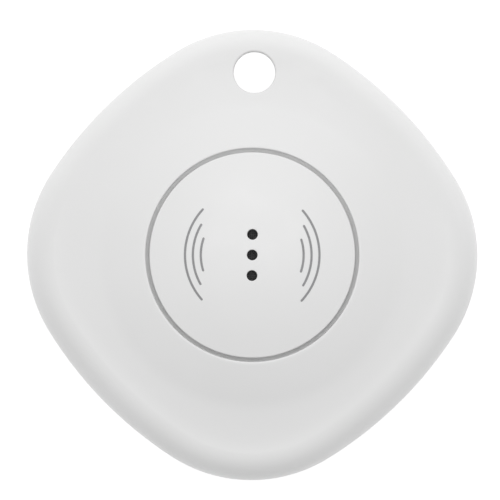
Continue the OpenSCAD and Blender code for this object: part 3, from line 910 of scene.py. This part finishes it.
def turned_metal(name, light, dark):
    """Pressed cell steel: rings from the press tool, and fine scuffs."""
    s = Shader(name, Metallic=1.0)
    mm = s.millimetres()
    rings = s.node("ShaderNodeTexWave",
                   [("Vector", mm), ("Scale", 1.6), ("Distortion", 0.6), ("Detail", 3.0)],
                   wave_type="RINGS", rings_direction="Z").outputs["Fac"]
    scuffs = s.noise(s.millimetres((0.3, 4, 1)), 2.5, 6.0, 0.7)
    colour = s.mix(s.spread(scuffs, 0, 0.5, 0.5, 0.8), light, dark)
    return s.use(Base_Color=colour, Roughness=s.spread(scuffs, 0.16, 0.3),
                 Normal=s.bump(rings, 0.08, 0.01, s.bump(scuffs, 0.2, 0.003)))


def woven(name, light, dark, pitch, roughness=0.7):
    """Two sets of crossing threads."""
    s = Shader(name, Roughness=roughness)
    mm = s.millimetres()
    wave = [("Vector", mm), ("Scale", WAVE_PERIOD / pitch)]
    bands = [s.node("ShaderNodeTexWave", wave, bands_direction=way).outputs["Fac"] for way in ("X", "Y")]
    threads = s.node("ShaderNodeMath", [(0, bands[0]), (1, bands[1])], operation="MAXIMUM").outputs[0]
    fuzz = s.noise(mm, 9.0, 3.0)
    knots = s.node("ShaderNodeMath", [(0, threads), (1, fuzz)], operation="MULTIPLY").outputs[0]
    return s.use(Base_Color=s.mix(s.spread(knots, 0, 1, 0.1, 0.7), dark, light),
                 Normal=s.bump(threads, 0.8, 0.05))


def speckled(name, light, dark, size, roughness=(0.4, 0.6), depth=0.01):
    """Fired or pressed grains, with darker specks between them."""
    s = Shader(name)
    mm = s.millimetres()
    cells = s.node("ShaderNodeTexVoronoi", [("Vector", mm), ("Scale", 1 / size)]).outputs["Distance"]
    cloud = s.noise(mm, 0.4 / size, 5.0, 0.7)
    return s.use(Base_Color=s.mix(s.spread(cloud, 0, 1, 0.45, 0.6), dark, light),
                 Roughness=s.spread(cloud, *roughness), Normal=s.bump(cells, 0.5, depth))


def solder_mask():
    """Green board: copper tracks under the mask, tinned vias and a woven glass ripple."""
    s = Shader("board_laminate", Coat_Weight=0.5, Coat_Roughness=0.15)
    mm = s.millimetres()
    tracks = s.node("ShaderNodeTexBrick",
                    [("Vector", mm), ("Scale", 1.0), ("Mortar Size", 0.09), ("Mortar Smooth", 0.1),
                     ("Brick Width", 2.6), ("Row Height", 0.62)],
                    offset=0.37, squash=0.6).outputs["Fac"]
    places = s.noise(mm, 0.16, 1.0)
    tracks = s.node("ShaderNodeMath", [(0, tracks), (1, s.spread(places, 0, 1, 0.42, 0.5))],
                    operation="MULTIPLY").outputs[0]
    vias = s.node("ShaderNodeTexVoronoi",
                  [("Vector", mm), ("Scale", 0.42), ("Randomness", 0.8)]).outputs["Distance"]
    via = s.spread(vias, 1, 0, 0.085, 0.1)
    mask = s.mix(tracks, (0.012, 0.10, 0.045), (0.03, 0.20, 0.085))
    mask = s.mix(s.spread(s.noise(mm, 1.5, 4.0), 0, 0.35), mask, (0.008, 0.07, 0.03))
    colour = s.mix(via, mask, (0.72, 0.66, 0.52))
    height = s.node("ShaderNodeMath", [(0, tracks), (1, via)], operation="ADD").outputs[0]
    ripple = s.node("ShaderNodeTexWave", [("Vector", mm), ("Scale", 0.8)],
                    bands_direction="DIAGONAL").outputs["Fac"]
    return s.use(Base_Color=colour, Metallic=via, Roughness=s.spread(s.noise(mm, 2.0), 0.3, 0.42),
                 Normal=s.bump(height, 0.5, 0.03, s.bump(ripple, 0.1, 0.01)))


def printed_ink():
    """Pad-printed grey ink: a slightly patchy, matt layer."""
    s = Shader("button_ink")
    mm = s.millimetres()
    patch = s.noise(mm, 5.0, 4.0, 0.7)
    return s.use(Base_Color=s.mix(s.spread(patch, 0, 1), (0.22, 0.22, 0.225), (0.30, 0.30, 0.305)),
                 Roughness=s.spread(patch, 0.45, 0.6), Normal=s.bump(patch, 0.2, 0.004))


SHELL_WHITE = (0.75, 0.75, 0.75)
SHELL_SHADE = (0.737, 0.737, 0.735)

MATERIALS = {
    "shell_plastic": moulded("shell_plastic", SHELL_WHITE, SHELL_SHADE),
    "button_plastic": moulded("button_plastic", SHELL_WHITE, SHELL_SHADE),
    "door_plastic": moulded("door_plastic", (0.73, 0.73, 0.73), (0.715, 0.715, 0.712), (0.42, 0.56)),
    "button_ink": printed_ink(),
    "acoustic_mesh": woven("acoustic_mesh", (0.10, 0.10, 0.103), (0.015, 0.015, 0.015), 0.16),
    "silicone": moulded("silicone", (0.40, 0.40, 0.41), (0.34, 0.34, 0.35), (0.5, 0.65), 3.0),
    "seal_rubber": moulded("seal_rubber", (0.035, 0.035, 0.037), (0.02, 0.02, 0.021), (0.45, 0.62), 4.0),
    "carrier_plastic": moulded("carrier_plastic", (0.05, 0.05, 0.053), (0.035, 0.035, 0.037),
                               (0.45, 0.6), 5.0),
    "adhesive": moulded("adhesive", (0.03, 0.03, 0.03), (0.015, 0.015, 0.015), (0.25, 0.5), 2.0, 0.012),
    "brass_sheet": rolled_metal("brass_sheet", (0.80, 0.58, 0.24), (0.50, 0.31, 0.12)),
    "piezo_ceramic": speckled("piezo_ceramic", (0.80, 0.77, 0.70), (0.66, 0.62, 0.54), 0.12),
    "gold_plating": rolled_metal("gold_plating", (0.88, 0.66, 0.30), (0.70, 0.46, 0.18), (0.16, 0.3)),
    "board_laminate": solder_mask(),
    "chip_plastic": speckled("chip_plastic", (0.028, 0.028, 0.03), (0.012, 0.012, 0.013), 0.06, (0.5, 0.7)),
    "bright_steel": rolled_metal("bright_steel", (0.72, 0.72, 0.73), (0.50, 0.49, 0.47)),
    "antenna_ceramic": speckled("antenna_ceramic", (0.50, 0.66, 0.74), (0.36, 0.52, 0.62),
                                0.1, (0.2, 0.35)),
    "ferrite": speckled("ferrite", (0.085, 0.085, 0.088), (0.045, 0.045, 0.047), 0.09, (0.55, 0.75)),
    "capacitor_ceramic": speckled("capacitor_ceramic", (0.42, 0.29, 0.18), (0.30, 0.19, 0.11),
                                  0.05, (0.25, 0.4)),
    "polyimide_film": moulded("polyimide_film", (0.62, 0.26, 0.03), (0.50, 0.19, 0.02),
                              (0.12, 0.25), 1.5, 0.004),
    "stem_plastic": moulded("stem_plastic", (0.78, 0.75, 0.66), (0.72, 0.68, 0.58), (0.35, 0.5), 6.0),
    "cell_steel": turned_metal("cell_steel", (0.66, 0.66, 0.67), (0.46, 0.46, 0.45)),
    "cathode_powder": speckled("cathode_powder", (0.05, 0.05, 0.05), (0.02, 0.02, 0.02),
                               0.07, (0.75, 0.95), 0.02),
    "separator_felt": woven("separator_felt", (0.86, 0.86, 0.83), (0.62, 0.62, 0.60), 0.09, 0.9),
    "lithium": rolled_metal("lithium", (0.60, 0.60, 0.61), (0.34, 0.34, 0.36), (0.35, 0.6), tarnish=0.8),
    "cell_nylon": moulded("cell_nylon", (0.16, 0.16, 0.165), (0.11, 0.11, 0.115), (0.4, 0.55), 5.0),
}

front_shell()
rear_shell()
button()
printed_waves()
door()
gasket()
snap_dome()

for part in frame["record"]["subparts"]:
    node = frame["nodes"][part["node"]]
    node.data.materials.clear()
    node.data.materials.append(MATERIALS[part["material_slot"]])


# Stage, camera and light.

PIXEL_MM = 0.0888
IMAGE_PIXELS = 500
VIEW_CENTRE = (-0.202, 0.443)
CAMERA_TURN = 0.7
CAMERA_HEIGHT = 1200.0
SENSOR = 36.0
CLIP_M = (0.01, 20)
GROUND_Z = -0.02
GROUND_RADII = (0.5, 20, 60, 200, 800, 3000)
GROUND_POINTS = 96
PAPER_GLOW = 0.76
PAPER_GREYS = ((0.38, 0.38, 0.38), (0.40, 0.40, 0.40))
SKY_BELOW = 0.326
SKY_ABOVE = 1.31


def paper_floor():
    """Pale paper that glows a little, so that the tag's own shadow on it stays faint."""
    weave = Weave()
    rings = [weave.loop(circle(r, GROUND_POINTS), GROUND_Z) for r in GROUND_RADII]
    for a, b in zip(rings, rings[1:]):
        weave.bridge(a, b)
    weave.faces.append(tuple(rings[0]))
    floor = new_piece("floor", weave.points, weave.faces)
    paper = Shader("floor_paper", Emission_Color=(1, 1, 1, 1), Emission_Strength=PAPER_GLOW)
    fibres = paper.noise(paper.millimetres(), 0.02)
    floor.data.materials.append(paper.use(Base_Color=paper.mix(fibres, *PAPER_GREYS)))


def front_camera():
    """Looks straight down on the tag's face, turned as the photo is."""
    camera = bpy.data.objects.new("camera", bpy.data.cameras.new("camera"))
    bpy.context.scene.collection.objects.link(camera)
    camera.data.sensor_width = SENSOR
    camera.data.lens = SENSOR * CAMERA_HEIGHT / (PIXEL_MM * IMAGE_PIXELS)
    camera.data.clip_start, camera.data.clip_end = CLIP_M
    camera.location = (VIEW_CENTRE[0] * MM, VIEW_CENTRE[1] * MM, (CAMERA_HEIGHT + PART_Z) * MM)
    camera.rotation_euler = (0, 0, math.radians(CAMERA_TURN))
    bpy.context.scene.camera = camera


def softbox(name, place, size, power):
    """A square area light that faces the tag and that the camera doesn't see. Its sizes are in metres."""
    lamp = bpy.data.lights.new(name, "AREA")
    lamp.size = size
    lamp.energy = power
    light = bpy.data.objects.new(name, lamp)
    bpy.context.scene.collection.objects.link(light)
    light.location = place
    light.rotation_euler = (-Vector(place)).to_track_quat("-Z", "Y").to_euler()
    light.visible_camera = False


def studio_sky():
    """Even white light that grows from -Y, the bottom of the picture, to +Y, its top."""
    world = bpy.data.worlds.new("studio")
    bpy.context.scene.world = world
    world.use_nodes = True
    nodes, links = world.node_tree.nodes, world.node_tree.links
    direction = nodes.new("ShaderNodeTexCoord")
    axes = nodes.new("ShaderNodeSeparateXYZ")
    links.new(direction.outputs["Generated"], axes.inputs[0])
    fade = nodes.new("ShaderNodeMapRange")
    for name, value in (("From Min", -1), ("From Max", 1), ("To Min", SKY_BELOW), ("To Max", SKY_ABOVE)):
        fade.inputs[name].default_value = value
    links.new(axes.outputs["Y"], fade.inputs["Value"])
    links.new(fade.outputs[0], nodes["Background"].inputs["Strength"])
    nodes["Background"].inputs["Color"].default_value = (1, 1, 1, 1)


paper_floor()
front_camera()
softbox("ring_lamp", place=(0, 0.01, 0.09), size=0.04, power=0.0082)
softbox("close_lamp", place=(0, 0.01, 0.06), size=0.02, power=0.0024)
studio_sky()

bpy.context.scene.view_settings.view_transform = "Standard"

bpy.context.view_layer.update()
